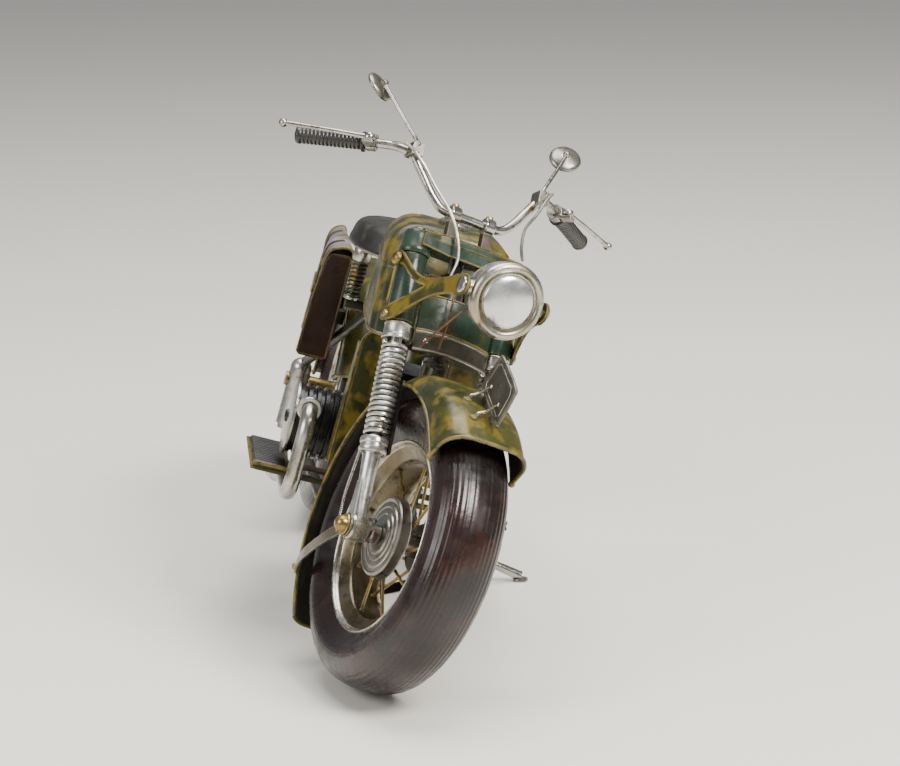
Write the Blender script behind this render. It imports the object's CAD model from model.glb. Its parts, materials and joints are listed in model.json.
import json
import math

import bpy
import bmesh
from mathutils import Matrix, Vector


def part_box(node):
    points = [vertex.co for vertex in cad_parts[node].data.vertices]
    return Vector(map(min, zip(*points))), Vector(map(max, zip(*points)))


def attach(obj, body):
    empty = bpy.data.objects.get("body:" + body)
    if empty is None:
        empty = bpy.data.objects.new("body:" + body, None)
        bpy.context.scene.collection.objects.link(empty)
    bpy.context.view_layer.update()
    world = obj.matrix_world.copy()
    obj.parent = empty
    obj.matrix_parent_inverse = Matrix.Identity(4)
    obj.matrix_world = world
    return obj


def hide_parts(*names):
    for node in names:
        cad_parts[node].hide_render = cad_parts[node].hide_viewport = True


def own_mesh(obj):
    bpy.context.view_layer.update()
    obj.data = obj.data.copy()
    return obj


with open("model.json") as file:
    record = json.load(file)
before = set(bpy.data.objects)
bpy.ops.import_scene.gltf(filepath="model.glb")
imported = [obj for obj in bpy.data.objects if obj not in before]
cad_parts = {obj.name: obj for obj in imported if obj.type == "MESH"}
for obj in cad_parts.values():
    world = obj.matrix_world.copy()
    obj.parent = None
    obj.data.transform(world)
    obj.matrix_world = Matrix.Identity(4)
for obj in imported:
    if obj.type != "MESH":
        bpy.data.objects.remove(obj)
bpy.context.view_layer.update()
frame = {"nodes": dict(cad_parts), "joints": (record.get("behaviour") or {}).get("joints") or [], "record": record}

# -------- frames, in millimetres
MM = 0.001
RAKE_DEGREES = 28
RAKE = math.radians(RAKE_DEGREES)
WHEELBASE = 246
WHEEL_R = 56
JOINTS = {j["name"]: j for j in frame["joints"]}
SLOTS = {p["node"]: p["material_slot"] for p in frame["record"]["subparts"]}


def joint_axis(name):
    return Vector(JOINTS[name]["axis"]).normalized()


def joint_place(name):
    return Vector(JOINTS[name]["pos_m"])


def axes(x, z, origin):
    """Matrix from millimetres along x, y and z at origin to the object's own frame in metres."""
    m = Matrix((x, z.cross(x), z)).transposed().to_4x4()
    m.translation = origin
    return m @ Matrix.Scale(MM, 4)


def at(x, y, z):
    return Matrix.Translation((x, y, z))


def turned(degrees, axis):
    return Matrix.Rotation(math.radians(degrees), 4, axis)


def flipped(s):
    """The left side as it is (1), or mirrored to the right (-1)."""
    return Matrix.Scale(s, 4, (1, 0, 0))


def upward(x, y, z):
    """A place whose local x axis stands up."""
    return at(x, y, z) @ turned(-90, "Y")


def quarter(steps, first=1, last=None):
    """Angles of a quarter turn, in radians."""
    return [math.pi / 2 * k / steps for k in range(first, (steps if last is None else last) + 1)]


ACROSS = joint_axis("rear_wheel_spin")
LEGS = joint_axis("steering_turn")
UPRIGHT = Matrix.Rotation(RAKE, 3, ACROSS) @ LEGS
# BIKE: the upright machine, front contact at the origin. REAR: rear axle. FORK: front axle, z up the legs.
REAR = axes(ACROSS, UPRIGHT, joint_place("rear_wheel_spin"))
BIKE = REAR @ at(0, -WHEELBASE, -WHEEL_R)
FORK = axes(joint_axis("front_wheel_spin"), LEGS, joint_place("front_wheel_spin"))
# LAMP: x forward out of the lens. GRIP: x outwards along the left grip.
LAMP_FORWARD, LAMP_Z, LAMP_TILT = 39.4, 88.3, 4
LAMP = FORK @ at(0, -LAMP_FORWARD, LAMP_Z) @ turned(RAKE_DEGREES - LAMP_TILT, "X") @ turned(-90, "Z")
BAR_Y, BAR_Z = 1.7, 129
BAR_BEND, BAR_TIP = (41, 14.5, 150), (64, 34, 150)
BAR_ANGLE = math.degrees(math.atan2(BAR_TIP[1] - BAR_BEND[1], BAR_TIP[0] - BAR_BEND[0]))
GRIP = FORK @ at(*BAR_BEND) @ turned(BAR_ANGLE, "Z")
MIRRORED = flipped(-1)
GRIP_RIGHT = FORK @ MIRRORED @ FORK.inverted() @ GRIP
# an outline's x and y laid along the bike's y and z, its depth along x
SIDE_ON = Matrix(((0, 0, 1, 0), (1, 0, 0, 0), (0, 1, 0, 0), (0, 0, 0, 1)))
SIDES = ((1, "left"), (-1, "right"))


# -------- materials
def ramp(tree, source, stops):
    """Colours or greys along a 0 to 1 value; stops are (place, colour)."""
    node = tree.nodes.new("ShaderNodeValToRGB")
    band = node.color_ramp
    while len(band.elements) < len(stops):
        band.elements.new(0.5)
    for element, (place, colour) in zip(band.elements, stops):
        element.position = place
        element.color = (*colour, 1) if not isinstance(colour, (int, float)) else (colour, colour, colour,
                1)
    tree.links.new(source, node.inputs["Fac"])
    return node.outputs["Color"]


def noise(tree, scale, detail, seed):
    """Noise over the object's own coordinates, in features per metre."""
    coord = tree.nodes.new("ShaderNodeTexCoord")
    place = tree.nodes.new("ShaderNodeMapping")
    place.inputs["Location"].default_value = (seed, seed * 1.7, -seed)
    tree.links.new(coord.outputs["Object"], place.inputs["Vector"])
    node = tree.nodes.new("ShaderNodeTexNoise")
    node.inputs["Scale"].default_value = scale
    node.inputs["Detail"].default_value = detail
    tree.links.new(place.outputs["Vector"], node.inputs["Vector"])
    return node.outputs["Fac"]


def mix(tree, factor, a, b):
    node = tree.nodes.new("ShaderNodeMix")
    node.data_type = "RGBA"
    for value, socket in ((factor, node.inputs["Factor"]), (a, node.inputs["A"]), (b, node.inputs["B"])):
        if isinstance(value, bpy.types.NodeSocket):
            tree.links.new(value, socket)
        elif isinstance(value, tuple):
            socket.default_value = (*value, 1)
        else:
            socket.default_value = value
    return node.outputs["Result"]


def times(tree, a, b):
    node = tree.nodes.new("ShaderNodeMath")
    node.operation = "MULTIPLY"
    tree.links.new(a, node.inputs[0])
    if isinstance(b, bpy.types.NodeSocket):
        tree.links.new(b, node.inputs[1])
    else:
        node.inputs[1].default_value = b
    return node.outputs["Value"]


def edges(tree, width, low, high):
    """1 on sharp edges, 0 on flats: how far the rounded normal leans away from the flat one."""
    bevel = tree.nodes.new("ShaderNodeBevel")
    bevel.samples = 6
    bevel.inputs["Radius"].default_value = width * MM
    flat = tree.nodes.new("ShaderNodeNewGeometry")
    dot = tree.nodes.new("ShaderNodeVectorMath")
    dot.operation = "DOT_PRODUCT"
    tree.links.new(bevel.outputs["Normal"], dot.inputs[0])
    tree.links.new(flat.outputs["Normal"], dot.inputs[1])
    return ramp(tree, dot.outputs["Value"], ((low, 1.0), (high, 0.0)))


M = {}


def finish(name, base, patch, rough, metal=0.0, stain=None, grime=(0.03, 0.02, 0.012), stain_at=0.56,
        edge=None, bumps=0.12, coat=0.0, seed=0.0, patches=70, dirt=0.8, specular=0.5):
    """A worn surface: base and patch colours in clouds, stains and grime, bright or rubbed edges."""
    mat = bpy.data.materials.new(name)
    mat.use_nodes = True
    tree = mat.node_tree
    shader = tree.nodes["Principled BSDF"]
    clouds = noise(tree, patches, 5, seed)
    colour = mix(tree, ramp(tree, clouds, ((0.38, 0.0), (0.62, 1.0))), base, patch)
    if stain:
        spots = ramp(tree, noise(tree, patches * 1.6, 7, seed + 3.1),
                ((stain_at, 0.0), (stain_at + 0.1, 1.0)))
        colour = mix(tree, spots, colour, stain)
    specks = ramp(tree, noise(tree, 420, 8, seed + 7.7), ((0.56, 0.0), (0.74, dirt)))
    colour = mix(tree, specks, colour, grime)
    if edge:
        rubbed = times(tree, edges(tree, 0.7, 0.93, 0.995), ramp(tree, noise(tree, 160, 6, seed + 11),
                ((0.36, 0.15), (0.55, 1.0))))
        colour = mix(tree, rubbed, colour, edge)
    tree.links.new(colour, shader.inputs["Base Color"])
    gloss = ramp(tree, noise(tree, 150, 6, seed + 5.3), ((0.3, max(rough - 0.1, 0.05)),
            (0.7, min(rough + 0.14, 1))))
    tree.links.new(gloss, shader.inputs["Roughness"])
    shader.inputs["Metallic"].default_value = metal
    shader.inputs["Coat Weight"].default_value = coat
    shader.inputs["Specular IOR Level"].default_value = specular
    shader.inputs["Coat Roughness"].default_value = 0.12
    bump = tree.nodes.new("ShaderNodeBump")
    bump.inputs["Strength"].default_value = bumps
    bump.inputs["Distance"].default_value = 0.0004
    tree.links.new(noise(tree, 520, 6, seed + 9.2), bump.inputs["Height"])
    tree.links.new(bump.outputs["Normal"], shader.inputs["Normal"])
    M[name] = mat


OCHRE = (0.20, 0.14, 0.025)
RUST = (0.09, 0.035, 0.012)
GREEN, GREEN_2, GREEN_3 = (0.014, 0.020, 0.006), (0.050, 0.046, 0.008), (0.016, 0.040, 0.028)
finish("olive_tin", GREEN, GREEN_2, 0.33, stain=(0.125, 0.092, 0.008), edge=OCHRE, coat=0.06, seed=1.0,
        specular=0.3, stain_at=0.50)
finish("bluegreen_tin", GREEN_3, (0.018, 0.028, 0.014), 0.24, stain=(0.055, 0.048, 0.010), edge=OCHRE,
        coat=0.12, seed=2.0, specular=0.35)
finish("brown_tin", (0.015, 0.0065, 0.004), (0.030, 0.013, 0.007), 0.36, stain=(0.050, 0.028, 0.013),
        edge=(0.11, 0.075, 0.025), coat=0.05, seed=3.0, stain_at=0.62, specular=0.3)
finish("tan_tin", (0.24, 0.21, 0.20), (0.15, 0.12, 0.10), 0.36, stain=(0.10, 0.065, 0.03),
        edge=(0.20, 0.15, 0.05), coat=0.2, seed=4.0)
finish("black_gloss", (0.004, 0.004, 0.005), (0.010, 0.009, 0.009), 0.22, coat=0.1,
        edge=(0.05, 0.045, 0.04), seed=5.0, specular=0.3)
finish("dark_frame", (0.012, 0.014, 0.007), (0.028, 0.026, 0.009), 0.36, stain=RUST, edge=OCHRE, seed=6.0)
finish("silver_paint", (0.52, 0.51, 0.48), (0.36, 0.34, 0.29), 0.27, metal=0.9, stain=(0.34, 0.22, 0.05),
        stain_at=0.62, seed=7.0, patches=90, dirt=0.5)
finish("bright_bar", (0.50, 0.49, 0.46), (0.33, 0.31, 0.27), 0.20, metal=0.95, stain=(0.20, 0.14, 0.06),
        stain_at=0.62, seed=8.0)
finish("aged_steel", (0.27, 0.26, 0.23), (0.14, 0.12, 0.095), 0.32, metal=0.9, stain=RUST, stain_at=0.64,
        edge=(0.50, 0.47, 0.40), seed=9.0)
finish("old_brass", (0.36, 0.26, 0.08), (0.20, 0.13, 0.04), 0.32, metal=0.85, stain=RUST,
        edge=(0.55, 0.44, 0.18), seed=10.0)
finish("rim_metal", (0.17, 0.150, 0.105), (0.115, 0.085, 0.040), 0.30, metal=0.85,
        stain=(0.075, 0.045, 0.015), edge=(0.45, 0.41, 0.32), stain_at=0.58, seed=11.0, dirt=0.5)
finish("spring_steel", (0.10, 0.105, 0.075), (0.05, 0.055, 0.035), 0.32, metal=0.7, stain=OCHRE, seed=12.0)
finish("tyre_rubber", (0.0065, 0.0045, 0.0042), (0.017, 0.0070, 0.0055), 0.26, stain=(0.026, 0.011, 0.008),
        coat=0.1, bumps=0.16, specular=0.4, seed=13.0, patches=45, grime=(0.010, 0.006, 0.005))
finish("grip_rubber", (0.006, 0.006, 0.006), (0.012, 0.010, 0.009), 0.36, coat=0.2,
        edge=(0.04, 0.035, 0.028), seed=14.0)
finish("seat_leather", (0.014, 0.014, 0.014), (0.030, 0.029, 0.026), 0.42, stain=(0.045, 0.038, 0.028),
        bumps=0.3, seed=15.0, specular=0.25)
finish("red_lamp", (0.20, 0.008, 0.006), (0.12, 0.010, 0.006), 0.18, coat=0.7, seed=16.0)
finish("ochre_edge", (0.075, 0.062, 0.012), (0.17, 0.125, 0.022), 0.34, stain=(0.022, 0.026, 0.008),
        seed=17.0, patches=140, stain_at=0.54)
finish("inside_tin", (0.007, 0.008, 0.006), (0.016, 0.010, 0.006), 0.5, stain=(0.03, 0.015, 0.008),
        seed=18.0)
finish("solder", (0.16, 0.155, 0.14), (0.07, 0.065, 0.06), 0.34, metal=0.8, stain=RUST, bumps=0.6,
        seed=19.0)
finish("copper_wire", (0.28, 0.13, 0.05), (0.12, 0.06, 0.03), 0.34, metal=0.8, seed=20.0)
finish("lens", (0.70, 0.70, 0.70), (0.60, 0.60, 0.58), 0.24, metal=0.9, stain=(0.48, 0.42, 0.28),
        stain_at=0.70, seed=21.5, patches=40, dirt=0.15, bumps=0.05)
finish("rim_band", (0.46, 0.45, 0.41), (0.31, 0.28, 0.20), 0.26, metal=0.9, stain=(0.25, 0.16, 0.04),
        stain_at=0.60, seed=23.0, dirt=0.5)
finish("plate_metal", (0.085, 0.080, 0.062), (0.060, 0.052, 0.036), 0.34, metal=0.6,
        stain=(0.04, 0.04, 0.02), edge=(0.24, 0.22, 0.16), seed=24.0)


# -------- building pieces
class Piece:
    """Gathers shapes given in a frame's millimetres into one mesh."""

    def __init__(self, place):
        self.place = place
        self.bm = bmesh.new()
        self.mats = []

    def paint(self, faces, mat):
        if mat not in self.mats:
            self.mats.append(mat)
        for f in faces:
            f.material_index = self.mats.index(mat)

    def grid(self, rows, mat, closed_u=False, closed_v=False, local=None):
        """Quads between rows of points; u along a row, v from row to row."""
        m = self.place @ (local or Matrix.Identity(4))
        table = [[self.bm.verts.new(m @ Vector(p)) for p in row] for row in rows]
        faces = []
        for i in range(len(table) if closed_v else len(table) - 1):
            a, b = table[i], table[(i + 1) % len(table)]
            for k in range(len(a) if closed_u else len(a) - 1):
                n = (k + 1) % len(a)
                faces.append(self.bm.faces.new((a[k], a[n], b[n], b[k])))
        self.paint(faces, mat)
        return table

    def caps(self, table, mat):
        """Closes both ends of a grid that goes round."""
        self.paint([self.bm.faces.new(table[0]), self.bm.faces.new(table[-1])], mat)

    def turn(self, outline, mat, local=None, steps=72):
        """Turns an outline of (along x, radius) about the local x axis."""
        rows = []
        for i in range(steps):
            a = 2 * math.pi * i / steps
            rows.append([(x, r * math.sin(a), r * math.cos(a)) for x, r in outline])
        self.grid(rows, mat, closed_v=True, local=local)

    def tube(self, points, radius, mat, local=None, sides=10, closed=False):
        """Round tube through points; radius is a number or one for each point."""
        pts = [Vector(p) for p in points]
        n = len(pts)
        side = None
        rows = []
        for i, p in enumerate(pts):
            before = pts[i - 1] if (i or closed) else p
            after = pts[(i + 1) % n] if (i < n - 1 or closed) else p
            way = (after - before).normalized()
            if side is None:
                side = way.orthogonal().normalized()
            side = (side - way * side.dot(way)).normalized()
            other = way.cross(side)
            r = radius[i] if isinstance(radius, (list, tuple)) else radius
            rows.append([p + r * (math.cos(t) * side + math.sin(t) * other)
                    for t in [2 * math.pi * k / sides for k in range(sides)]])
        table = self.grid(rows, mat, closed_u=True, closed_v=closed, local=local)
        if not closed:
            self.caps(table, mat)

    def bead(self, points, radius, local=None, closed=False):
        """Rolled and rubbed edge."""
        self.tube(points, radius, "ochre_edge", local=local, sides=8, closed=closed)

    def slab(self, outline, depth, mat, local=None):
        """Flat shape in the local x and y, depth thick along z."""
        m = self.place @ (local or Matrix.Identity(4))
        low = [self.bm.verts.new(m @ Vector((x, y, 0))) for x, y in outline]
        high = [self.bm.verts.new(m @ Vector((x, y, depth))) for x, y in outline]
        faces = [self.bm.faces.new(low), self.bm.faces.new(high)]
        for i in range(len(low)):
            n = (i + 1) % len(low)
            faces.append(self.bm.faces.new((low[i], low[n], high[n], high[i])))
        self.paint(faces, mat)

    def block(self, low, high, mat, local=None):
        """Box between two corners."""
        (x0, y0, z0), (x1, y1, z1) = low, high
        base = at(0, 0, z0) if local is None else local @ at(0, 0, z0)
        self.slab([(x0, y0), (x1, y0), (x1, y1), (x0, y1)], z1 - z0, mat, base)

    def ball(self, place, radius, mat, local=None, stretch=(1, 1, 1), lumps=0.0, seed=0):
        """Round blob; lumps pushes its surface in and out."""
        m = self.place @ (local or Matrix.Identity(4)) @ at(*place)
        made = bmesh.ops.create_icosphere(self.bm, subdivisions=3, radius=1)["verts"]
        for v in made:
            d = v.co.copy()
            k = 1 + lumps * (math.sin(5 * d.x + seed) * math.cos(4 * d.y + 2 * seed)
                    + math.sin(7 * d.z - seed) / 2)
            v.co = m @ Vector([radius * k * d[i] * stretch[i] for i in range(3)])
        self.paint({f for v in made for f in v.link_faces}, mat)

    def dome(self, place, radius, height, mat, local=None, skirt=0.6):
        """Domed bolt head standing along the local x axis."""
        arc = [(skirt + height * math.sin(t), radius * math.cos(t)) for t in [math.pi / 16 * k
                for k in range(8)]]
        self.turn([(0, radius)] + arc + [(skirt + height, 0.01)], mat,
                (local or Matrix.Identity(4)) @ at(*place), 28)

    def done(self, name, body, stands_for=(), bevel=0.0, sharp=40, solid=0.0, inner=None, smooth=0):
        """Makes the object, sets it riding on its body and lets it stand for CAD nodes."""
        bmesh.ops.remove_doubles(self.bm, verts=self.bm.verts, dist=1e-7)
        bmesh.ops.recalc_face_normals(self.bm, faces=self.bm.faces)
        mesh = bpy.data.meshes.new(name)
        self.bm.to_mesh(mesh)
        self.bm.free()
        for mat in self.mats:
            mesh.materials.append(M[mat])
        mesh.shade_smooth()
        mesh.set_sharp_from_angle(angle=math.radians(sharp))
        obj = bpy.data.objects.new(name, mesh)
        bpy.context.scene.collection.objects.link(obj)
        if smooth:
            sub = obj.modifiers.new("smooth", "SUBSURF")
            sub.levels = sub.render_levels = smooth
        if solid:
            wall = obj.modifiers.new("wall", "SOLIDIFY")
            wall.thickness = solid * MM
            wall.offset = -1
            if inner:
                mesh.materials.append(M[inner])
                wall.material_offset = len(self.mats)
        if bevel:
            cut = obj.modifiers.new("bevel", "BEVEL")
            cut.width = bevel * MM
            cut.segments = 2
            cut.limit_method = "ANGLE"
            cut.angle_limit = math.radians(35)
            cut.harden_normals = True
        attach(obj, body)
        if stands_for:
            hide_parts(*stands_for)
        return obj


def spline(points, n=8, closed=False):
    """Smooth curve through points, n steps between each two."""
    pts = [Vector(p) for p in points]
    count = len(pts)
    out = []
    for i in range(count if closed else count - 1):
        if closed:
            a, b, c, d = (pts[(i + k - 1) % count] for k in range(4))
        else:
            a, b, c, d = pts[max(i - 1, 0)], pts[i], pts[i + 1], pts[min(i + 2, count - 1)]
        for k in range(n):
            t = k / n
            out.append(b + (c - a) * t / 2 + (a - 2.5 * b + 2 * c - d / 2) * t * t + (-a + 3 * b - 3 * c
                    + d) * t ** 3 / 2)
    if not closed:
        out.append(pts[-1])
    return out


def wheel_point(x, r, behind):
    """Point of a wheel frame: sideways x, radius r, degrees behind the top."""
    a = math.radians(behind)
    return (x, r * math.sin(a), r * math.cos(a))


# -------- wheels
SPOKES = 18


def tyre_outline():
    """Tyre section with fine rings on its sides and shallow ribs on its tread."""
    outline = []
    count = 84
    for i in range(count + 1):
        t = -0.36 + (math.pi + 0.72) * i / count
        c, s = math.cos(t), math.sin(t)
        x = 14.3 * math.copysign(abs(c) ** 0.86, c)
        r = 45.8 + 10.1 * math.copysign(abs(s) ** 0.92, s)
        ring = 0.16 * math.cos(x * 3.4) if s > 0.6 else 0.13 * math.cos(r * 4.4)
        outline.append((x * (1 + ring / 30), r + (ring if s > 0.6 else 0)))
    return [(10.2, 35.4)] + outline + [(-10.2, 35.4)]


def rim_outline():
    side = [(10.9, 36.9), (11.2, 36.3), (10.8, 35.7), (9.4, 35.3), (9.0, 34.9), (8.2, 33.4), (7.3, 32.0),
            (6.9, 31.0), (6.5, 30.5), (5.9, 30.3), (5.4, 30.7), (4.6, 31.2)]
    return side + [(-x, r) for x, r in reversed(side)]


def wheel(name, place):
    """Tyre, dished rim and drum hub of one wheel."""
    tyre = Piece(place)
    tyre.turn(tyre_outline(), "tyre_rubber", steps=150)
    tyre.done(name + "_tyre_skin", name + "_wheel", [name + "_tyre"], sharp=80)
    rim = Piece(place)
    outline = rim_outline()
    rim.turn(outline[:5], "rim_band", steps=120)
    rim.turn(outline[4:-4], "rim_metal", steps=120)
    rim.turn(outline[-5:], "rim_band", steps=120)
    rim.done(name + "_rim_dish", name + "_wheel", [name + "_rim"], sharp=50, solid=0.7)
    spokes = Piece(place)
    for i in range(SPOKES):
        s = 1 if i % 2 == 0 else -1
        a = 360 * i / SPOKES
        inner = wheel_point(s * 5.4, 8.2, a + s * 38)
        outer = wheel_point(s * 3.2, 31.4, a)
        spokes.tube([inner, outer], 0.62, "old_brass", sides=8)
        spokes.ball(outer, 1.0, "solder")
    spokes.done(name + "_spoke_wires", name + "_wheel", [name + "_spokes"])


def drum(piece):
    """Brake drum on the right of a hub, its face turned in rings."""
    piece.turn([(-6.2, 9), (-6.2, 15.3), (-6.6, 15.6), (-7.2, 15.3), (-10.2, 15.2), (-10.7, 14.9),
            (-10.9, 14.2), (-10.7, 13.7), (-10.4, 13.3), (-10.5, 12.2), (-10.9, 11.9), (-11.0, 11.2),
            (-10.7, 10.8), (-10.8, 9.6), (-11.2, 9.3), (-11.3, 8.5), (-11.0, 8.1), (-11.1, 7.3),
            (-11.6, 7.0), (-11.9, 6.2), (-11.9, 4.6), (-12.0, 3.0)], "aged_steel", steps=96)


def hub(name, place, left, kept):
    piece = Piece(place)
    drum(piece)
    piece.turn([(-6.4, 3.9), (-6.2, 9.2), (-4.6, 9.2), (-4.4, 4.4), (0, 3.8), (4.4, 4.4), (4.6, 9.2),
            (6.2, 9.2), (6.4, 4.2), (left - 0.6, 3.9), (left, 3.4), (left, 2.6)], "aged_steel", steps=64)
    piece.done(name + "_hub_drum", name + "_wheel", kept, sharp=28)


wheel("front", FORK)
wheel("rear", REAR)
hub("front", FORK, 12, ["front_hub"])
inner_hub = Piece(REAR)
drum(inner_hub)
inner_hub.done("rear_drum_face", "rear_wheel", sharp=28)


# -------- fenders
def fender(name, place, body, stands_for, half_at, out, corner, front, back, edge_at, skew=0.0):
    """Sheet guard over a wheel, front to back degrees about its top; skew turns its sides back."""
    across_n, along_n = 44, 90
    rows = []
    for i in range(along_n + 1):
        t = i / along_n
        a = -front + (front + back) * t
        half, edge = half_at(a), edge_at(a)
        line = []
        for k in range(17):
            t = math.radians(90 * k / 16)
            line.append((half - corner + corner * math.sin(t), out - corner + corner * math.cos(t)))
        flat = [((half - corner) * k / 6, out + 0.35 * (1 - (k / 6) ** 2)) for k in range(6)]
        line = flat + line
        kept = [p for p in line if p[1] > edge]
        if len(kept) == len(line):
            kept.append((half, edge))
        else:
            below = line[len(kept)]
            f = (kept[-1][1] - edge) / max(kept[-1][1] - below[1], 1e-6)
            kept.append((kept[-1][0] + f * (below[0] - kept[-1][0]), edge))
        steps = [0.0]
        for p, q in zip(kept, kept[1:]):
            steps.append(steps[-1] + math.dist(p, q))
        section = []
        for k in range(across_n // 2 + 1):
            want = steps[-1] * k / (across_n // 2)
            j = max(n for n in range(len(steps)) if steps[n] <= want + 1e-9)
            j = min(j, len(kept) - 2)
            f = (want - steps[j]) / max(steps[j + 1] - steps[j], 1e-9)
            section.append([kept[j][c] + f * (kept[j + 1][c] - kept[j][c]) for c in (0, 1)])
        whole = [(-x, r) for x, r in reversed(section[1:])] + [tuple(p) for p in section]
        bend = [skew * (2 * k / across_n - 1) ** 2 for k in range(across_n + 1)]
        rows.append([wheel_point(x, r, a + b) for (x, r), b in zip(whole, bend)])
    shell = Piece(place)
    shell.grid(rows, "olive_tin")
    shell.done(name + "_skin", body, stands_for, sharp=60, solid=0.9, inner="inside_tin")
    trim = Piece(place)
    for side in (0, -1):
        trim.tube([row[side] for row in rows], 0.62, "ochre_edge")
    trim.tube(rows[0], 0.75, "ochre_edge")
    trim.tube(rows[-1], 0.62, "ochre_edge")
    for end in (rows[0][0], rows[0][-1]):
        trim.ball(end, 1.3, "ochre_edge")
    trim.done(name + "_beads", body)


def front_edge(a):
    """Radius of the front fender's edge: deep ahead of the legs, shallow beside and behind them."""
    points = ((-62, 46.5), (-52, 47.8), (-38, 50.8), (-14, 55.2), (0, 57.4), (14, 58.6), (200, 58.6))
    for (a0, r0), (a1, r1) in zip(points, points[1:]):
        if a <= a1:
            t = (a - a0) / (a1 - a0)
            return r0 + (r1 - r0) * t
    return points[-1][1]


def front_half(a):
    return 17.1 - 1.5 * math.exp(-(a / 7.0) ** 2)


fender("front_fender", FORK, "lower_fork", ["front_fender"], front_half, 62.1, 9, 62, 116, front_edge,
        skew=0.38)
fender("rear_fender", REAR, "root", ["rear_fender"], lambda a: 17.4, 61.1, 9, 72, 95, lambda a: 45)
strut = Piece(BIKE)
strut.tube([(0, 152, 111.8), (0, 200, 113), (0, WHEELBASE - 29, WHEEL_R + 54)], 1.2, "dark_frame")
strut.done("rear_fender_strut", "root")

# number plate on the front fender, held by two hooked strips
PLATE = FORK @ turned(45, "X")
plate = Piece(PLATE)
length, height, low = 25.0, 15.0, 64.6
outline = [(-length / 2, low + 1.5), (-length / 2 + 1.5, low), (length / 2 - 1.5, low + 0.6),
        (length / 2, low + 2.2), (length / 2 - 0.8, low + height - 2), (length / 2 - 3, low + height),
        (-length / 2 + 3, low + height), (-length / 2 + 0.4, low + height - 2.5)]
plate.slab(outline, 0.8, "plate_metal", at(-0.4, 0, 0) @ SIDE_ON)
plate.tube(spline([(0, y, z) for y, z in outline], 4, True), 0.75, "plate_metal", closed=True, sides=8)
plate.tube([(-0.4, y * 0.84, low + (z - low) * 0.80 + 1.5) for y, z in outline], 0.28, "aged_steel",
        closed=True, sides=6)
for y in (-6, 6):
    plate.dome((-0.4, y, low + 4.5), 0.9, 0.5, "bright_bar", MIRRORED @ at(0.8, 0, 0), skirt=0.1)
    hook = spline([(-6.5, y - 1, 62.1), (-5.6, y - 0.4, 63.6), (-3.6, y, 64.6), (-2.2, y, 66.4),
            (-1.0, y, 68.6)], 6)
    plate.tube(hook, [0.75 - 0.25 * k / len(hook) for k in range(len(hook))], "rim_band", sides=8)
    plate.ball((-6.8, y - 1.2, 61.8), 1.5, "ochre_edge", stretch=(1.2, 1, 0.7))
    plate.block((-0.4, y - 1.3, 61.4), (0.4, y + 1.3, low + 2), "plate_metal")
plate.done("number_plate_folded", "lower_fork", ["number_plate"], bevel=0.2)

# -------- fork
LEG_X = 21
SEAT_LOW, SEAT_HIGH, WIRE = 34.5, 73, 0.92


def coiled(x, y, low, high, radius, turns):
    """Points of a coil between two heights, twenty to a turn."""
    points = []
    steps = int(turns * 20)
    for i in range(steps + 1):
        t = i / steps
        a = 2 * math.pi * turns * t
        points.append((x + radius * math.cos(a), y + radius * math.sin(a), low + (high - low) * t))
    return points


for s, word in SIDES:
    coil = Piece(FORK)
    coil.tube(coiled(s * LEG_X, 0, SEAT_LOW + WIRE, SEAT_HIGH - WIRE, 4.05, 17.5), WIRE, "silver_paint",
            sides=8)
    spring = coil.done("fork_spring_" + word, "lower_fork")
    if s == 1:
        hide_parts("fork_springs")
    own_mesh(spring)

lower = Piece(FORK)
for s in (1, -1):
    leg = upward(s * LEG_X, 0, 0)
    lower.turn([(-4.6, 0.01), (-4.5, 2.6), (-2, 3.0), (8, 2.85), (18, 2.9), (26.6, 3.3), (28.2, 3.6),
            (28.6, 4.9), (29.2, 5.3), (30.2, 5.35), (30.6, 5.0), (31.8, 4.95), (32.2, 5.35), (33.8, 5.4),
            (34.4, 5.1), (34.4, 2.5)], "silver_paint", leg, steps=40)
    # gusset beside the leg and the lump of solder behind the lug
    lower.slab([(-4.8, 3.2), (-3.0, 11), (-2.4, 18), (2.4, 18), (3.6, 11), (5.4, 2.0), (4.0, -4.6),
            (-3.6, -4.6)], 1.5, "silver_paint", at(s * (LEG_X + 1.7) - 0.75, 0, 0) @ SIDE_ON)
    lower.turn([(s * 16.9, 3.0), (s * 17.4, 4.6), (s * 19, 4.9), (s * 23.6, 4.9), (s * 24.3, 4.4),
            (s * 24.3, 2.6)], "silver_paint", steps=36)
    for k, (dy, dz, r) in enumerate(((0.4, 1.6, 3.1), (-2.2, -1.4, 2.5), (2.3, -1.2, 2.6), (0, 3.6, 2.0))):
        lower.ball((s * 15.2, dy, dz), r, "solder", stretch=(0.8, 1, 1), lumps=0.16, seed=k + s)
lower.done("fork_lower_legs", "lower_fork", ["fork_sliders"], sharp=35)

nuts = Piece(FORK)
nuts.turn([(-26, 2.5), (26, 2.5)], "old_brass", steps=24)
for s in (1, -1):
    face = flipped(s)
    nuts.turn([(25.5, 2.0), (25.5, 3.9), (25.9, 4.1), (26.4, 3.9), (26.5, 3.2), (27.6, 3.1), (28.4, 2.7),
            (29.2, 2.0), (29.6, 1.1), (29.75, 0.01)], "old_brass", face, steps=32)
    nuts.turn([(12.4, 2.5), (12.4, 3.5), (17.6, 3.5), (17.6, 2.5)], "aged_steel", face, steps=24)
nuts.done("front_axle_nuts", "lower_fork", ["front_axle"], sharp=35)

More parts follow.
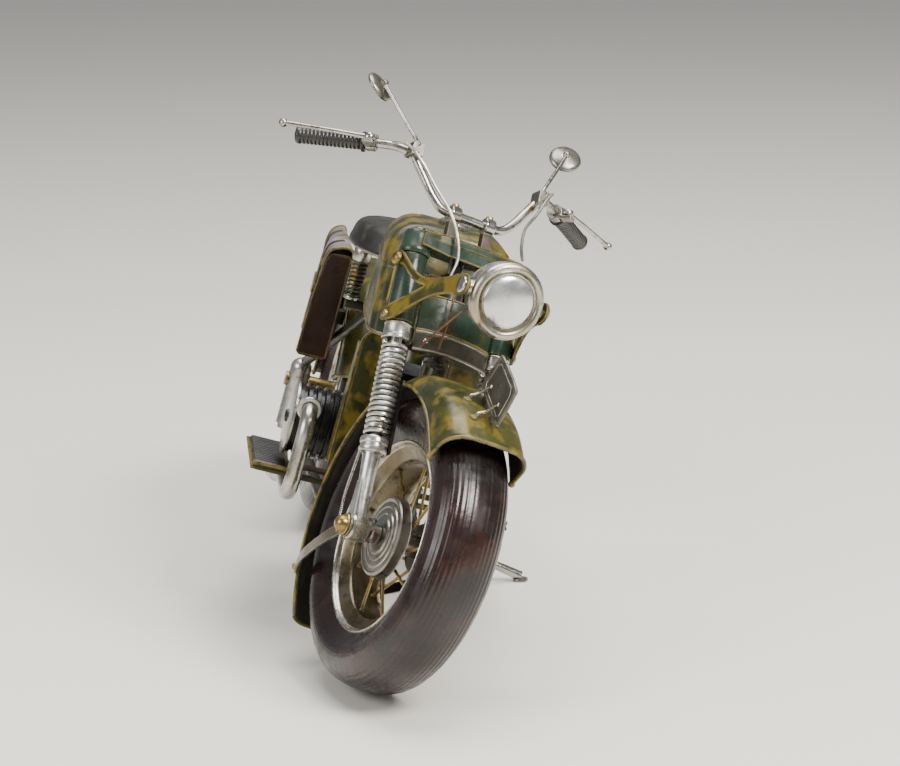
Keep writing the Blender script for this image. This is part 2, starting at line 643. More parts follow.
stays = Piece(FORK)
for s in (1, -1):
    strap = spline([(s * 24.9, -3.5, 0.4), (s * 24.9, 2, -0.3), (s * 24.3, 20, -2.2), (s * 21.5, 42, -4.6),
            (s * 17.6, 55, -6.0), (s * 16.0, 58.6, -6.4)], 6)
    rows = []
    for i, p in enumerate(strap):
        w = 2.5 - 0.7 * i / len(strap)
        rows.append([p + Vector((0.45, 0, -w)), p + Vector((0.45, 0, w)), p + Vector((-0.45, 0, w)),
                p + Vector((-0.45, 0, -w))])
    stays.grid(rows, "rim_metal", closed_u=True)
    stays.turn([(s * 24.6, 2.6), (s * 24.6, 4.6), (s * 25.4, 4.6), (s * 25.4, 2.6)], "rim_metal", steps=32)
    side = None if s == 1 else at(2 * s * 17.2, 0, 0) @ MIRRORED
    stays.dome((s * 17.2, 56.6, -6.2), 1.3, 0.8, "old_brass", side)
    stays.tube(spline([(s * 25.2, 7.2, -1.6), (s * 24.9, 7.8, 12), (s * 24.3, 6.4, 22),
            (s * 23.8, 4.8, 30.5)], 6), 0.62, "bright_bar", sides=8)
    stays.block((min(s * 15.0, s * 16.0), -3, 29.6), (max(s * 15.0, s * 16.0), 3, 58.6), "inside_tin")
stays.done("fender_straps", "lower_fork", ["fender_stays"], bevel=0.12)

covers = Piece(FORK)
for s in (1, -1):
    leg = upward(s * LEG_X, 0, 0)
    covers.turn([(79.6, 4.4), (79.9, 5.5), (80.4, 5.6), (96, 5.45), (106.4, 5.45), (106.9, 5.2)],
            "bluegreen_tin", leg, steps=48)
covers.done("fork_cover_tubes", "steering", ["fork_covers"], sharp=45)

yokes = Piece(FORK)
for s in (1, -1):
    leg = upward(s * LEG_X, 0, 0)
    yokes.turn([(73.0, 2.4), (73.0, 5.4), (73.4, 5.7), (74.4, 5.7), (74.8, 5.3), (78.4, 5.2), (79.0, 5.5),
            (79.5, 5.2), (79.5, 2.4)], "silver_paint", leg, steps=40)
yokes.block((-16, -3.4, 73.4), (16, 6.4, 79.2), "dark_frame")
# curved plates between the legs, under the headlamp
for low, high, bulge, mat in ((79.0, 93.0, 7.6, "bluegreen_tin"), (71.2, 78.2, 8.4, "plate_metal")):
    wide = 15.4
    bow = [(wide * k / 8, -3.6 - bulge * (1 - (k / 8) ** 2) * 0.55) for k in range(-8, 9)]
    yokes.grid([[(x, y, low) for x, y in bow], [(x, y, high) for x, y in bow]], mat)
    yokes.grid([[(x, y + 0.8, low) for x, y in bow], [(x, y + 0.8, high) for x, y in bow]], "inside_tin")
    for z in (high, low):
        yokes.tube([(x, y, z) for x, y in bow], 0.5, "ochre_edge" if bulge < 8 else "aged_steel", sides=8)
yokes.dome((0, 0, 0), 1.1, 0.6, "bright_bar", at(-12, -6.4, 74.6) @ turned(-90, "Z"), skirt=0.1)
yokes.turn([(73.2, 3.1), (73.2, 6.4), (79.6, 6.4), (79.6, 3.1)], "dark_frame", upward(0, 6.5, 0), steps=32)
yokes.done("lower_yoke_cast", "steering", ["lower_yoke"], bevel=0.5)

crown = Piece(FORK)
for s in (1, -1):
    leg = upward(s * LEG_X, 0, 0)
    crown.turn([(107.2, 4.4), (107.2, 5.6), (108.0, 6.0), (109.2, 6.0), (110, 5.6), (114.6, 5.5),
            (116.4, 4.9), (117.3, 3.4), (117.6, 0.01)], "bluegreen_tin", leg, steps=44)
    crown.dome((0, 0, 0), 2.4, 1.0, "old_brass", upward(s * LEG_X, 0, 117.2), skirt=0.5)
top = [(-21, -5.6), (-12, -6.4), (0, -6.8), (12, -6.4), (21, -5.6), (21, 5.4), (8, 13.2), (-8, 13.2),
        (-21, 5.4)]
crown.slab(top, 2.6, "bluegreen_tin", at(0, 0, 114.2))
front = [(-21, 110.6), (-21, 115.9), (-12, 116.8), (0, 117.1), (12, 116.8), (21, 115.9), (21, 110.6),
        (10, 109.6), (-10, 109.6)]
crown.slab(front, 1.1, "bluegreen_tin", at(0, -5.1, 0) @ turned(90, "X"))
crown.bead([(x, -6.2, z) for x, z in front], 0.32, closed=True)
crown.bead([(x, y, 116.9) for x, y in top], 0.32, closed=True)
crown.done("upper_yoke_plate", "steering", ["upper_yoke"], bevel=0.3)

# -------- headlamp and its brackets
lamp = Piece(LAMP)
shell = [(-1.3 - 13.7 * math.cos(t), 13.7 * math.sin(t)) for t in quarter(12)]
lamp.turn([(-15.0, 0.01)] + shell + [(1.2, 13.75), (1.4, 14.1), (1.9, 14.25), (2.2, 13.9), (2.5, 14.1)],
        "silver_paint", steps=96)
lamp.turn([(2.5, 14.1), (2.8, 14.45), (3.9, 14.4), (4.9, 13.9), (5.5, 13.0), (5.6, 12.2), (5.2, 11.5),
        (4.7, 11.2), (4.5, 10.9), (4.9, 10.7), (5.4, 10.5), (5.3, 10.1), (4.8, 9.9)], "rim_band", steps=96)
for s in (1, -1):
    lamp.turn([(12.5, 3.4), (14.6, 3.0), (15.3, 2.8), (15.4, 1.2)], "silver_paint", turned(s * 90, "Z"),
            steps=32)
    lamp.turn([(15.3, 1.3), (17.0, 1.3), (17.0, 3.2), (17.4, 3.4), (18.0, 3.3), (18.3, 2.9),
            (18.35, 0.01)], "bright_bar", turned(s * 90, "Z"), steps=32)
lamp.done("headlamp_bucket", "headlamp", ["headlamp_shell"], sharp=50)
glass = Piece(LAMP)
bulge = [(4.7 + 2.6 * math.sin(t), 10.0 * math.cos(t)) for t in quarter(14, last=13)]
glass.turn([(4.7, 10.0)] + bulge + [(7.3, 0.01)], "lens", steps=72)
glass.done("headlamp_dome", "headlamp", ["headlamp_lens"], sharp=70)

arms = Piece(FORK)
HUB_X, COVER_X = 16.4, 27.4


def arm_x(y):
    """How far out the bracket plate stands at y: from the fork cover in to the lamp's side."""
    t = min(max((-1 - y) / (-1 + LAMP_FORWARD), 0), 1)
    return COVER_X + (HUB_X + 0.3 - COVER_X) * (t ** 0.8)


upper = [(1.6, 106.0), (-2, 106.6), (-6, 102.6), (-11, 97.4), (-18, 93.8), (-27, 92.6), (-34, 92.6),
        (-39.4, 92.4), (-43, 90.4)]
lower_line = [(-43.2, 86.6), (-39.4, 84.4), (-33, 85.8), (-26, 86.4), (-18, 85.4), (-9, 82.0),
        (-2.5, 79.6), (2.4, 80.2)]
notch = [(2.8, 83.2), (-3, 85.8), (-10, 88.2), (-16.5, 90.2), (-17.4, 91.2), (-13, 93.0), (-8.2, 96.8),
        (-3.6, 101.2), (1.8, 103.0)]
loop = [(p.x, p.y) for p in spline([(y, z, 0) for y, z in upper + lower_line + notch], 4, True)]
for s in (1, -1):
    front_face = [arms.bm.verts.new(FORK @ Vector((s * (arm_x(y) + 0.5), y, z))) for y, z in loop]
    back_face = [arms.bm.verts.new(FORK @ Vector((s * (arm_x(y) - 0.5), y, z))) for y, z in loop]
    made = [arms.bm.faces.new(front_face), arms.bm.faces.new(back_face)]
    for i in range(len(loop)):
        n = (i + 1) % len(loop)
        made.append(arms.bm.faces.new((front_face[i], front_face[n], back_face[n], back_face[i])))
    arms.paint(made, "olive_tin")
    arms.bead([(s * (arm_x(y) + 0.3), y, z) for y, z in loop], 0.36, closed=True)
    arms.bead([(s * 27.7, -0.8, 103), (s * 27.7, 0.6, 81.5)], 0.5)
    flip = flipped(s)
    arms.dome((27.6, -1.4, 103.6), 2.5, 1.7, "old_brass", flip)
    arms.dome((27.6, -0.2, 81.8), 1.5, 0.8, "old_brass", flip)
bmesh.ops.triangulate(arms.bm, faces=[f for f in arms.bm.faces if len(f.verts) > 4])
arms.done("lamp_bracket_plates", "steering", ["lamp_brackets"], sharp=40)

# -------- handlebar, grips, levers, mirrors
half_bar = [(0, BAR_Y, BAR_Z), (6, BAR_Y, BAR_Z), (13, 1.8, 129.6), (18, 2.6, 134), (23, 3.9, 141),
        (28, 5.6, 147.6), (33, 8.4, 149.6), (39, 12.8, 150), BAR_BEND, BAR_TIP]
route = [(-x, y, z) for x, y, z in reversed(half_bar[1:])] + half_bar
bar = Piece(FORK)
bar.tube(spline(route, 8), 1.75, "bright_bar", sides=20)
bar.done("handlebar_tube", "steering", ["handlebar"])

RISER_X = 7.5
clamps = Piece(FORK)
for s in (1, -1):
    clamps.turn([(s * RISER_X - 2.2, 1.8), (s * RISER_X - 2.2, 3.1), (s * RISER_X - 1.8, 3.4),
            (s * RISER_X + 1.8, 3.4), (s * RISER_X + 2.2, 3.1), (s * RISER_X + 2.2, 1.8)], "bright_bar",
            at(0, BAR_Y, BAR_Z), steps=36)
    clamps.block((s * RISER_X - 2, 0, 117.0), (s * RISER_X + 2, 3.4, 127), "dark_frame")
    clamps.dome((0, 0, 0), 1.5, 0.8, "old_brass", upward(s * RISER_X, 1.7, 132.2))
clamps.done("bar_risers", "steering", ["bar_clamps"], bevel=0.3)

GRIPS = (GRIP, GRIP_RIGHT)
grips = Piece(GRIP)
for place in GRIPS:
    grips.place = place
    outline = [(2.6, 1.8), (2.6, 3.5), (3.0, 3.9), (3.8, 3.9), (4.2, 3.2)]
    ribs = 15
    for k in range(ribs):
        x = 4.6 + 23.4 * k / ribs
        outline += [(x, 2.85), (x + 0.35, 3.18), (x + 1.0, 3.22), (x + 1.35, 2.88)]
    outline += [(28.4, 3.3), (29.4, 3.45), (30.2, 3.1), (30.5, 2.2), (30.6, 0.01)]
    grips.turn(outline, "grip_rubber", steps=36)
grips.done("grip_rubbers", "steering", ["grips"], sharp=50)

perches = Piece(GRIP)
for place in GRIPS:
    perches.place = place
    perches.turn([(-1.8, 1.8), (-1.8, 3.0), (-1.4, 3.3), (1.8, 3.3), (2.2, 3.0), (2.2, 1.8)], "aged_steel",
            steps=36)
    perches.block((-1.8, -7.4, -2.7), (2.2, -1.6, -1.3), "aged_steel")
    perches.block((-1.5, -3.4, -2.7), (1.9, -1.2, -0.6), "aged_steel")
    perches.dome((0, 0, 0), 1.1, 0.6, "bright_bar", upward(0, -5.2, 1.25), skirt=0.2)
    perches.turn([(-1.4, 0.85), (1.6, 0.85)], "aged_steel", upward(0, -5.2, 0), steps=16)
perches.place = FORK
for s in (1, -1):
    perches.block((s * 28 - 2.4, 0.2, 146), (s * 28 + 2.4, 7.2, 151), "aged_steel")
    for z in (146.8, 150):
        perches.dome((s * 28, 0.1, z), 0.7, 0.4, "bright_bar", skirt=0.1)
perches.done("lever_and_mirror_clamps", "steering", ["control_clamps"], bevel=0.35)

for place, joint in zip(GRIPS, ("lever_left", "lever_right")):
    lever = Piece(place)
    lever.turn([(-1.1, 0.95), (-1.1, 2.0), (-0.9, 2.15), (0.9, 2.15), (1.1, 2.0), (1.1, 0.95)],
            "bright_bar", upward(0, -5.2, 0), steps=28)
    blade = spline([(1.6, -5.5, 0), (5, -6.2, 0), (12, -7.8, 0), (20, -8.9, 0.1), (28, -10.0, 0.1),
            (32.8, -10.8, 0)], 6)
    lever.tube(blade, [1.15 - 0.3 * math.sin(math.pi * k / len(blade)) for k in range(len(blade))],
            "bright_bar", sides=12)
    lever.ball((32.9, -10.8, 0), 1.75, "bright_bar")
    lever.done(joint + "_blade", joint, [joint], sharp=50)

for s, word in SIDES:
    tip, spin = (22, 159) if s == 1 else (31, 153)
    flip = flipped(s)
    mirror = Piece(FORK)
    stem = spline([(28, 2.6, 147.4), (28, 2.6, 151.6), (31.6, 6.0, 158), (36.5, 10.6, 166.5),
            (41, 15, 174.6)], 6)
    mirror.tube(stem, 0.78, "bright_bar", local=flip, sides=10)
    mirror.turn([(0, 1.3), (2.2, 1.3), (2.6, 1.0), (2.6, 0.7)], "aged_steel",
            flip @ upward(28, 2.6, 149.4), steps=20)
    head = flip @ at(41, 15, 175) @ turned(spin, "Z") @ turned(90 + tip, "X") @ upward(0, 0, 2)
    mirror.ball((41, 15, 175), 1.5, "aged_steel", local=flip)
    mirror.turn([(-1.7, 0.01), (-1.6, 1.2), (-1.2, 2.6), (-0.6, 5.0), (0.0, 6.1), (0.5, 6.35),
            (1.05, 6.35), (1.3, 6.1), (1.2, 5.7), (0.9, 5.5)], "aged_steel", head, steps=48)
    mirror.turn([(0.9, 5.55), (1.0, 3.0), (1.05, 0.01)], "lens", head, steps=48)
    mirror.done("mirror_" + word + "_head", "mirror_" + word, ["mirror_" + word], sharp=50)

wires = Piece(FORK)
runs = (
    ([(-37, 5, 149), (-33, -1, 148), (-27, -4, 142), (-20, -5, 134), (-13, -7, 126), (-9, -9, 117),
            (-8, -11, 108),
      (-10, -12, 100)], 0.62, "aged_steel"),
    ([(30, -2, 150), (27, -4, 146), (22, -8, 137), (15, -15, 127), (11, -23, 117), (9, -30, 109)], 0.62,
            "aged_steel"),
    ([(-6, -9, 103), (-7, -12, 94), (-7, -12, 84), (-8, -10, 72)], 0.42, "copper_wire"),
    ([(-3, -13, 88), (-9, -12, 80), (-15, -9, 71)], 0.42, "copper_wire"),
)
for points, radius, mat in runs:
    wires.tube(spline(points, 8), radius, mat, sides=8)
wires.done("control_wires", "steering", ["cables"])

# -------- tank, shields, seat
def front_line(z, back):
    """Raked front of the tank: distance back at height z."""
    q = (z - WHEEL_R + back * math.sin(RAKE)) / math.cos(RAKE)
    return q * math.sin(RAKE) + back * math.cos(RAKE)


tank = Piece(BIKE)
half, top, base, rear, radius, back = 25.4, 160.6, 119.0, 118, 12, 19.6
rows = []
stations = 40
nose = 6.5
for i in range(stations + 1):
    f = i / stations
    row = []
    narrow = 1 - 0.10 * f ** 2.2
    drop = 12 * max(0, (f - 0.72) / 0.28) ** 2
    loop = [(-half, base)]
    for k in range(9):
        t = math.radians(90 * k / 8)
        loop.append((-half + radius - radius * math.cos(t), top - radius + radius * math.sin(t)))
    loop += [(-half / 2, top + 0.3), (0, top + 0.4), (half / 2, top + 0.3)]
    loop += [(-x, z) for x, z in reversed(loop[1:10])] + [(half, base)]
    for x, z in loop:
        z = z - drop * max(0, (z - base) / (top - base))
        y0 = front_line(z, back)
        tuck = nose * (1 - math.sqrt(max(0, 1 - (1 - min(f / 0.14, 1)) ** 2)))
        row.append((x * narrow * (1 - tuck / half), y0 + (rear - y0) * f,
                z - tuck * max(0, (z - base) / (top - base))))
    rows.append(row)
tank.grid(rows, "olive_tin")
for row in (rows[0], rows[-1]):
    tank.paint([tank.bm.faces.new([tank.bm.verts.new(BIKE @ Vector(p)) for p in row])], "olive_tin")
for s in (1, -1):
    tank.grid([[row[0 if s < 0 else -1], (s * 7, row[0][1], row[0][2])] for row in rows], "inside_tin")
    tank.grid([[(s * 7, row[0][1], row[0][2]), (s * 7, row[0][1], 144)] for row in rows], "inside_tin")
tank.grid([[(-7, row[0][1], 144), (7, row[0][1], 144)] for row in rows], "inside_tin")
tank.done("tank_shell", "root", ["tank"], sharp=40)
seams = Piece(BIKE)
for s in (0, -1):
    seams.tube([(row[s][0], row[s][1], row[s][2] + 0.4) for row in rows], 0.7, "ochre_edge")
girdle = []
for row in rows:
    f = (143.0 - row[0][2]) / (row[1][2] - row[0][2])
    girdle.append([row[0][c] + f * (row[1][c] - row[0][c]) for c in range(3)])
line = [(-x, y, z) for x, y, z in reversed(girdle)] + [tuple(p) for p in girdle]
seams.bead(line, 0.55)
seams.tube([rows[0][0], rows[0][-1]], 0.55, "ochre_edge")
seams.done("tank_beads", "root")
cap = Piece(BIKE)
cap.turn([(0, 5.4), (0.3, 6.2), (1.8, 6.3), (2.3, 5.9), (2.4, 4.9), (3.2, 4.7), (3.6, 3.9), (3.9, 2),
        (4.0, 0.01)], "bright_bar", upward(0, 94, 160.6), steps=48)
cap.done("filler_cap", "root", ["tank_cap"], sharp=35)

shields = Piece(BIKE)
for s in (1, -1):
    flip = flipped(s)
    shape = [(11, 62), (25.5, 62), (25.5, 110.5)]
    shape += [(17.5 + 8 * math.cos(t), 110.5 + 8 * math.sin(t)) for t in [math.radians(15 * k)
            for k in range(1, 7)]]
    shape += [(11, 118.5)]
    face = flip @ at(0, 73.9, 0) @ turned(90, "X")
    shields.slab(shape, 0.9, "olive_tin", face)
    shields.block((24.7, 73, 62), (25.5, 83, 110), "olive_tin", flip)
    shields.bead([(x, 73.2, z) for x, z in shape], 0.5, flip, True)
    shields.bead([(25.3, 73, 62), (25.3, 83, 62), (25.3, 83, 110), (25.3, 74, 110)], 0.4, flip)
shields.done("leg_shield_plates", "root", ["leg_shields"], bevel=0.2)

SEAT_Y = 146
pad = Piece(BIKE)
ring = []
for k in range(40):
    t = 2 * math.pi * k / 40
    c, s = math.cos(t), math.sin(t)
    wide = 35 * (0.55 + 0.45 * (0.5 + 0.5 * s) ** 0.35)
    ring.append((wide * math.copysign(abs(c) ** 0.75, c), SEAT_Y + 28 * math.copysign(abs(s) ** 0.8, s)))
levels = ((0.80, 136.6), (0.98, 136.8), (1.03, 138.0), (1.0, 140.2), (0.985, 143.6), (0.94, 146.4),
        (0.84, 148.3), (0.5, 149.9))
table = pad.grid([[(x * k, SEAT_Y + (y - SEAT_Y) * k, z) for x, y in ring] for k, z in levels],
        "seat_leather", closed_u=True)
pad.caps(table, "seat_leather")
seat = pad.done("seat_pad", "root", ["seat"], sharp=80, smooth=1)
trim = Piece(BIKE)
trim.tube([(x, y, 137.4) for x, y in ring], 0.6, "aged_steel", closed=True, sides=8)
trim.done("seat_base_rim", "root")
SPRING_X, SPRING_Y = 25.4, 150

for s, word in SIDES:
    coil = Piece(BIKE)
    coil.tube(coiled(s * SPRING_X, SPRING_Y, 114.6, 130.2, 2.75, 9), 0.75, "spring_steel", sides=8)
    coil.turn([(113.8, 0.01), (113.8, 3.1), (114.4, 3.3), (115.0, 3.1), (115.0, 1.4), (130, 1.4),
            (130, 3.3), (130.6, 3.7), (135.4, 3.9), (136.4, 3.4), (137.0, 0.01)], "silver_paint",
            upward(s * SPRING_X, SPRING_Y, 0), steps=32)
    coil.done("seat_spring_" + word, "root", ["seat_springs"] if s == 1 else ())

# -------- saddlebags
BAG_X, BAG_Y, BAG_Z = 25.5, 184, 80
BAG_WIDE, BAG_LONG, BAG_TAPER = 12.5, 56, 5.0


def narrowed(x, y):
    """The bags' outer sides draw in towards the rear."""
    return x - BAG_TAPER * max(0, (x - BAG_X) / BAG_WIDE) * (y - BAG_Y) / BAG_LONG


for s, word in SIDES:
    flip = flipped(s)
    bag = Piece(BIKE)
    x0, y0, z0, wide, long_ = BAG_X, BAG_Y, BAG_Z, BAG_WIDE, BAG_LONG
    shape = [(x0, z0 + 1.0), (x0 + 1.0, z0), (x0 + wide - 1.0, z0), (x0 + wide, z0 + 1.0),
            (x0 + wide - 0.6, z0 + 24), (x0 + wide - 1.8, z0 + 41), (x0 + wide - 2.8, z0 + 43.6),
            (x0 + wide - 4.2, z0 + 44.6), (x0 + 1.4, z0 + 45), (x0 + 0.2, z0 + 44.2), (x0, z0 + 43)]
    walls = [[(narrowed(x, y), y, z) for x, z in shape] for y in [y0 + long_ * k / 4 for k in range(5)]]
    table = bag.grid(walls, "brown_tin", closed_u=True, local=flip)
    for end in (0, -1):
        bag.paint([bag.bm.faces.new(table[end])], "brown_tin")
        bag.tube(walls[end], 0.45, "brown_tin", local=flip, sides=8, closed=True)
    bag.block((17.6, y0 + 40, z0 + 9), (x0 + 0.5, y0 + 46, z0 + 15), "dark_frame", flip)
    bag.done("saddlebag_" + word + "_case", "root", ["saddlebag_" + word], bevel=0.4, sharp=50)
    lid = Piece(BIKE)
    over = spline([(x0 - 0.6, z0 + 42.4, 0), (x0 - 0.2, z0 + 46.8, 0), (x0 + 2.2, z0 + 48.6, 0),
            (x0 + 6, z0 + 48.0, 0), (x0 + 9.4, z0 + 46.2, 0), (x0 + 11.0, z0 + 43.4, 0),
            (x0 + 11.8, z0 + 39.0, 0)], 6)
    rows = []
    for k in range(13):
        f = k / 12
        y = y0 - 0.6 + (long_ + 1.2) * f
        crown_up = 0.5 * math.sin(math.pi * f)
        rows.append([(narrowed(p.x, y), y, p.y + crown_up * (p.y > z0 + 44)) for p in over])
    lid.grid(rows, "tan_tin", local=flip)
    lid.done("bag_lid_" + word, "root", ["bag_lids"] if s == 1 else (), solid=0.7, sharp=60)
    edge = Piece(BIKE)
    for row in (rows[0], rows[-1]):
        edge.bead(row, 0.6, flip)
    edge.bead([row[-1] for row in rows], 0.5, flip)
    edge.bead([(x0 + wide, y0, z0 + 2), (x0 + wide - 0.4, y0, z0 + 22), (x0 + wide - 1.6, y0, z0 + 40)],
            0.45, flip)
    for y in (y0 + 15, y0 + 41):
        strip = [Vector((narrowed(p.x + 0.45, y), y, p.y + 0.35)) for p in over[14:]]
        strip += [Vector((narrowed(x0 + 12.7, y), y, z0 + 22)), Vector((narrowed(x0 + 13.0, y), y, z0 + 8))]
        edge.grid([[q + Vector((0, d, 0)) for q in strip] for d in (-2, 2)], "seat_leather", local=flip)
        out = narrowed(x0 + 12.9, y)
        edge.block((out - 0.8, y - 2.6, z0 + 24), (out + 0.5, y + 2.6, z0 + 28.4), "old_brass", flip)
    edge.done("bag_trim_" + word, "root", solid=0.5)

# -------- engine, exhausts, boards
ENGINE_Y, ENGINE_Z = 104, 70
block = Piece(BIKE)
block.turn([(-14, 0.01), (-14, 23.0), (-13.2, 23.9), (13.2, 23.9), (14, 23.0), (14, 0.01)], "black_gloss",
        at(0, ENGINE_Y, ENGINE_Z - 12), steps=64)
block.block((-10, ENGINE_Y - 16, 30), (10, ENGINE_Y + 18, 50), "black_gloss")
block.block((-12, ENGINE_Y - 12, ENGINE_Z + 8), (12, ENGINE_Y + 14, ENGINE_Z + 30), "black_gloss")
for k in range(5):
    block.block((-10.6, ENGINE_Y - 14 + 7 * k, 29.6), (10.6, ENGINE_Y - 12.6 + 7 * k, 36), "black_gloss")
for s in (1, -1):
    flip = flipped(s)
    for k in range(6):
        a = 60 * k + 30
        block.dome((14, ENGINE_Y + 21.4 * math.sin(math.radians(a)),
                ENGINE_Z - 12 + 21.4 * math.cos(math.radians(a))), 1.2, 0.6, "aged_steel", flip, skirt=0.2)
block.done("engine_block", "root", ["crankcase"], bevel=0.5)

CYL_X, CYL_R = 42, 14.5
barrels = Piece(BIKE)
heads = Piece(BIKE)
for s in (1, -1):
    flip = flipped(s) @ at(0, ENGINE_Y, ENGINE_Z)
    outline = [(14.05, 9)]
    fins = 7
    step = (CYL_X - 3 - 14.2) / fins
    for k in range(fins):
        x = 14.2 + k * step
        outline += [(x, CYL_R - 0.4), (x + 0.25, CYL_R), (x + step * 0.45, CYL_R),
                (x + step * 0.55, CYL_R - 0.4), (x + step * 0.62, CYL_R - 1.3),
                (x + step * 0.95, CYL_R - 1.3)]
    outline += [(CYL_X - 3, CYL_R - 0.6), (CYL_X - 1.4, CYL_R - 0.6), (CYL_X - 1.35, 4)]
    barrels.turn(outline, "black_gloss", flip, steps=72)
    heads.turn([(CYL_X - 1.3, 4), (CYL_X - 1.3, CYL_R + 0.3), (CYL_X - 1.1, CYL_R + 0.7),
            (CYL_X - 0.3, CYL_R + 0.7), (CYL_X - 0.1, CYL_R + 0.4), (CYL_X, CYL_R - 0.6),
            (CYL_X + 0.35, CYL_R - 2.0), (CYL_X + 0.5, 4), (CYL_X + 0.5, 0.01)], "silver_paint", flip,
            steps=80)
    heads.turn([(CYL_X + 0.4, 2.6), (CYL_X + 1.1, 2.5), (CYL_X + 1.6, 1.9), (CYL_X + 1.7, 0.01)],
            "black_gloss", flip, steps=20)
barrels.done("cylinder_fins", "root", ["cylinders"], sharp=40)
heads.done("valve_cover_discs", "root", ["valve_covers"], sharp=40)

PIPE_X, PORT_Z, PIPE_LOW = 36.5, 78, 43.8
pipes = Piece(BIKE)
rings = Piece(BIKE)
for s in (1, -1):
    x = s * PIPE_X
    bend = [(x, y, PORT_Z) for y in (92, 90, 88)]
    bend += [(x, 88 - 9 * math.sin(t), 69 + 9 * math.cos(t)) for t in quarter(8)]
    bend += [(x, 79, 52.8 + 5 * k) for k in (2, 1)]
    bend += [(x, 88 - 9 * math.cos(t), 52.8 - 9 * math.sin(t)) for t in quarter(8, first=0)]
    bend += [(x, 92, PIPE_LOW), (x, 104, PIPE_LOW), (x, 110, 43.6), (x, 116, 42.8), (x, 124, 41.0),
            (x, 130, 39.6), (x, 136, 38.5)]
    pipes.tube(bend, 3.2, "silver_paint", sides=24)
    pipes.turn([(135, 3.2), (136.5, 3.3), (138, 3.6), (143, 4.9), (144, 5.0), (146, 5.05), (146.4, 5.3),
            (147.2, 5.3), (147.6, 5.0), (168, 5.0), (170.4, 5.05), (170.8, 5.3), (171.6, 5.3), (172, 4.9),
            (177.4, 3.5), (178, 3.2), (181.8, 3.2), (182, 2.9), (181.8, 2.5), (178, 2.4), (178, 0.01)],
            "silver_paint", at(x, 0, 38.5) @ turned(90, "Z"), steps=40)
    rings.turn([(86.2, 3.3), (86.2, 4.6), (86.6, 4.9), (88.6, 4.9), (89.1, 4.6), (89.1, 3.3)],
            "silver_paint", at(x, 0, PORT_Z) @ turned(90, "Z"), steps=36)
    rings.block((x + s * 3.2 - 1.2, 86.4, 76.6), (x + s * 3.2 + 2.2, 89, 79.4), "aged_steel")
pipes.done("exhaust_pipes", "root", ["exhausts"], sharp=40)
rings.done("exhaust_clamps", "root", ["exhaust_rings"], bevel=0.2, sharp=40)

boards = Piece(BIKE)
for s in (1, -1):
    flip = flipped(s)
    x0, x1, y0, y1, z = 37, 52, 91, 143, 48.5
    boards.slab([(x0, y0), (x1 - 1, y0), (x1, y0 + 1), (x1, y1 - 2), (x1 - 2, y1), (x0 + 1, y1),
            (x0, y1 - 1)], 1.2, "olive_tin", flip @ at(0, 0, z))
    boards.slab([(x0 + 0.8, y0 + 1), (x1 - 0.8, y0 + 1), (x1 - 0.8, y1 - 1.6), (x0 + 0.8, y1 - 1.6)], 0.5,
            "grip_rubber", flip @ at(0, 0, z + 1.2))
    count = 17
    for k in range(count):
        y = y0 + 2.2 + k * (y1 - y0 - 5) / (count - 1)
        boards.tube([(x0 + 1.2, y, z + 1.7), (x1 - 1.2, y, z + 1.7)], 0.75, "grip_rubber", local=flip,
                sides=8)
    flap = [[(x0, y0 + 1 - 0.7 * k, z + 0.6 + 0.9 * k), (x1, y0 + 1 - 0.7 * k,
            z + 0.6 + 0.9 * k)] for k in range(4)]
    boards.grid(flap, "olive_tin", local=flip)
    boards.bead([(x0, y0 - 1.1, z + 3.4), (x1, y0 - 1.1, z + 3.4)], 0.8, flip)
    boards.bead([(x1, y0, z + 0.7), (x1, y1 - 2, z + 0.7)], 0.8, flip)
    for y in (98, 116):
        boards.block((14.1, y, z - 1.6), (x1 - 6, y + 5, z), "dark_frame", flip)
boards.done("footboard_plates", "root", ["footboards"], bevel=0.2)

# -------- side stand
pivot = Vector((20.3, 132, 31))
low_box, high_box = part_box("side_stand")
foot = BIKE.inverted() @ Vector((high_box[0] - 0.0035, (low_box[1] + high_box[1]) / 2, 0.0022))
leg = Piece(BIKE)
tilt = at(*pivot) @ turned(8.9, "Y") @ turned(-90, "Y")
leg.turn([(-2, 1.4), (-2, 3.2), (-1.6, 3.5), (1.6, 3.5), (2, 3.2), (2, 1.4)], "bright_bar", tilt, steps=36)
way = (foot - pivot).normalized()
tip = foot + way * 0.2
leg.tube([pivot + way * 2.6, pivot + way * 8, foot - way * 12, foot - way * 6, tip],
        [1.7, 1.75, 1.75, 1.9, 2.1], "bright_bar", sides=18)
leg.done("side_stand_tube", "side_stand", ["side_stand"], sharp=45)
foot_plate = Piece(Matrix.Scale(MM, 4) @ at(high_box[0] * 1000 - 3.2, (low_box[1] + high_box[1]) * 500, 0))
foot_plate.turn([(0.02, 0.01), (0.02, 3.0), (0.5, 3.3), (1.2, 3.1), (1.6, 1.4), (1.6, 0.01)], "bright_bar",
        turned(-90, "Y"), steps=32)
foot_plate.done("side_stand_foot", "side_stand", sharp=45)

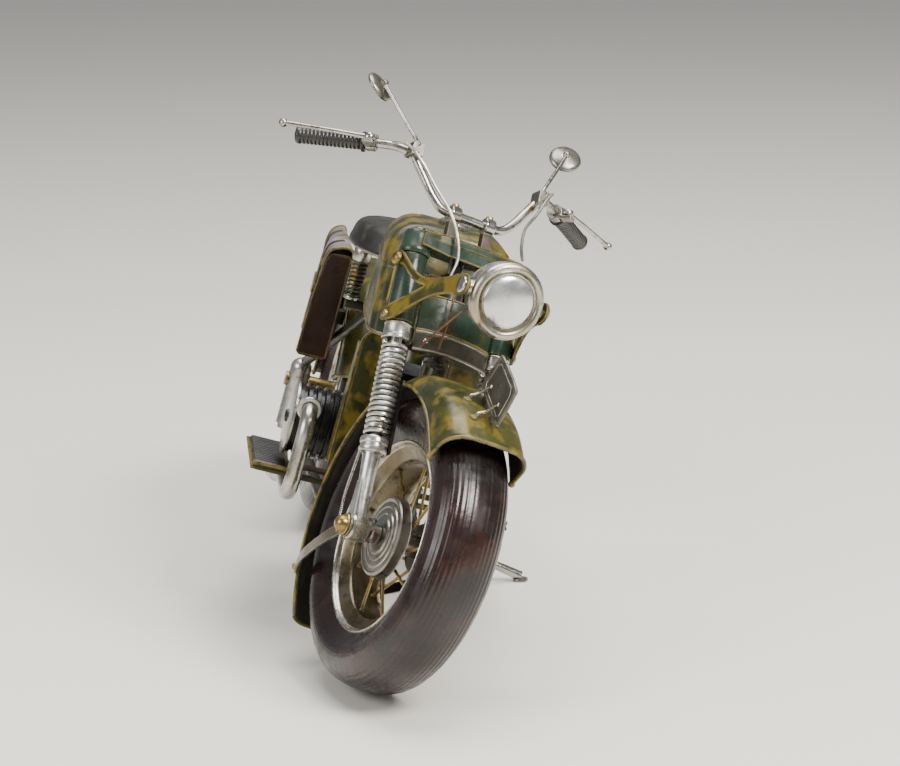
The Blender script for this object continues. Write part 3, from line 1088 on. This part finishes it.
# -------- finishes of the CAD pieces in sight
for node, obj in frame["nodes"].items():
    mat = M.get(SLOTS.get(node, ""), M["aged_steel"])
    obj.data.materials.clear()
    obj.data.materials.append(mat)
    for face in obj.data.polygons:
        face.material_index = 0

# -------- camera and light
EYE = Vector((-0.1034, -1.2347, 0.3573))
AIM = Vector((0.090, 0.973, -0.213))
LENS = 125.5


def make_camera():
    cam = bpy.data.objects.new("camera", bpy.data.cameras.new("camera"))
    cam.data.lens = LENS
    cam.data.sensor_width = 36
    cam.location = EYE
    cam.rotation_euler = AIM.to_track_quat("-Z", "Y").to_euler()
    cam.data.clip_start = 0.01
    bpy.context.scene.collection.objects.link(cam)
    bpy.context.scene.camera = cam


def area_light(name, place, target, size, power, colour=(1, 1, 1)):
    light = bpy.data.lights.new(name, "AREA")
    light.shape = "DISK"
    light.size = size
    light.energy = power
    light.color = colour
    obj = bpy.data.objects.new(name, light)
    obj.location = place
    obj.rotation_euler = (Vector(target) - Vector(place)).to_track_quat("-Z", "Y").to_euler()
    bpy.context.scene.collection.objects.link(obj)


def make_studio():
    mid = (0, -0.03, 0.08)
    area_light("key", (0.75, -0.85, 1.15), mid, 0.6, 36, (1.0, 0.985, 0.95))
    area_light("fill", (-1.1, -0.7, 0.8), mid, 0.9, 14, (0.98, 0.98, 1.0))
    area_light("top", (0.1, 0.2, 1.5), mid, 1.2, 30)
    world = bpy.data.worlds.new("studio")
    bpy.context.scene.world = world
    world.use_nodes = True
    sky = world.node_tree.nodes["Background"]
    sky.inputs["Color"].default_value = (0.80, 0.81, 0.84, 1)
    sky.inputs["Strength"].default_value = 0.36
    mesh = bpy.data.meshes.new("backdrop")
    half = 3.2
    mesh.from_pydata([(-half, -half, 0), (half, -half, 0), (half, half, 0), (-half, half, 0)], [],
            [(0, 1, 2, 3)])
    obj = bpy.data.objects.new("backdrop", mesh)
    bpy.context.scene.collection.objects.link(obj)
    mat = bpy.data.materials.new("backdrop")
    mat.use_nodes = True
    shader = mat.node_tree.nodes["Principled BSDF"]
    shader.inputs["Base Color"].default_value = (0.86, 0.82, 0.74, 1)
    shader.inputs["Roughness"].default_value = 0.34
    mesh.materials.append(mat)


make_camera()
make_studio()
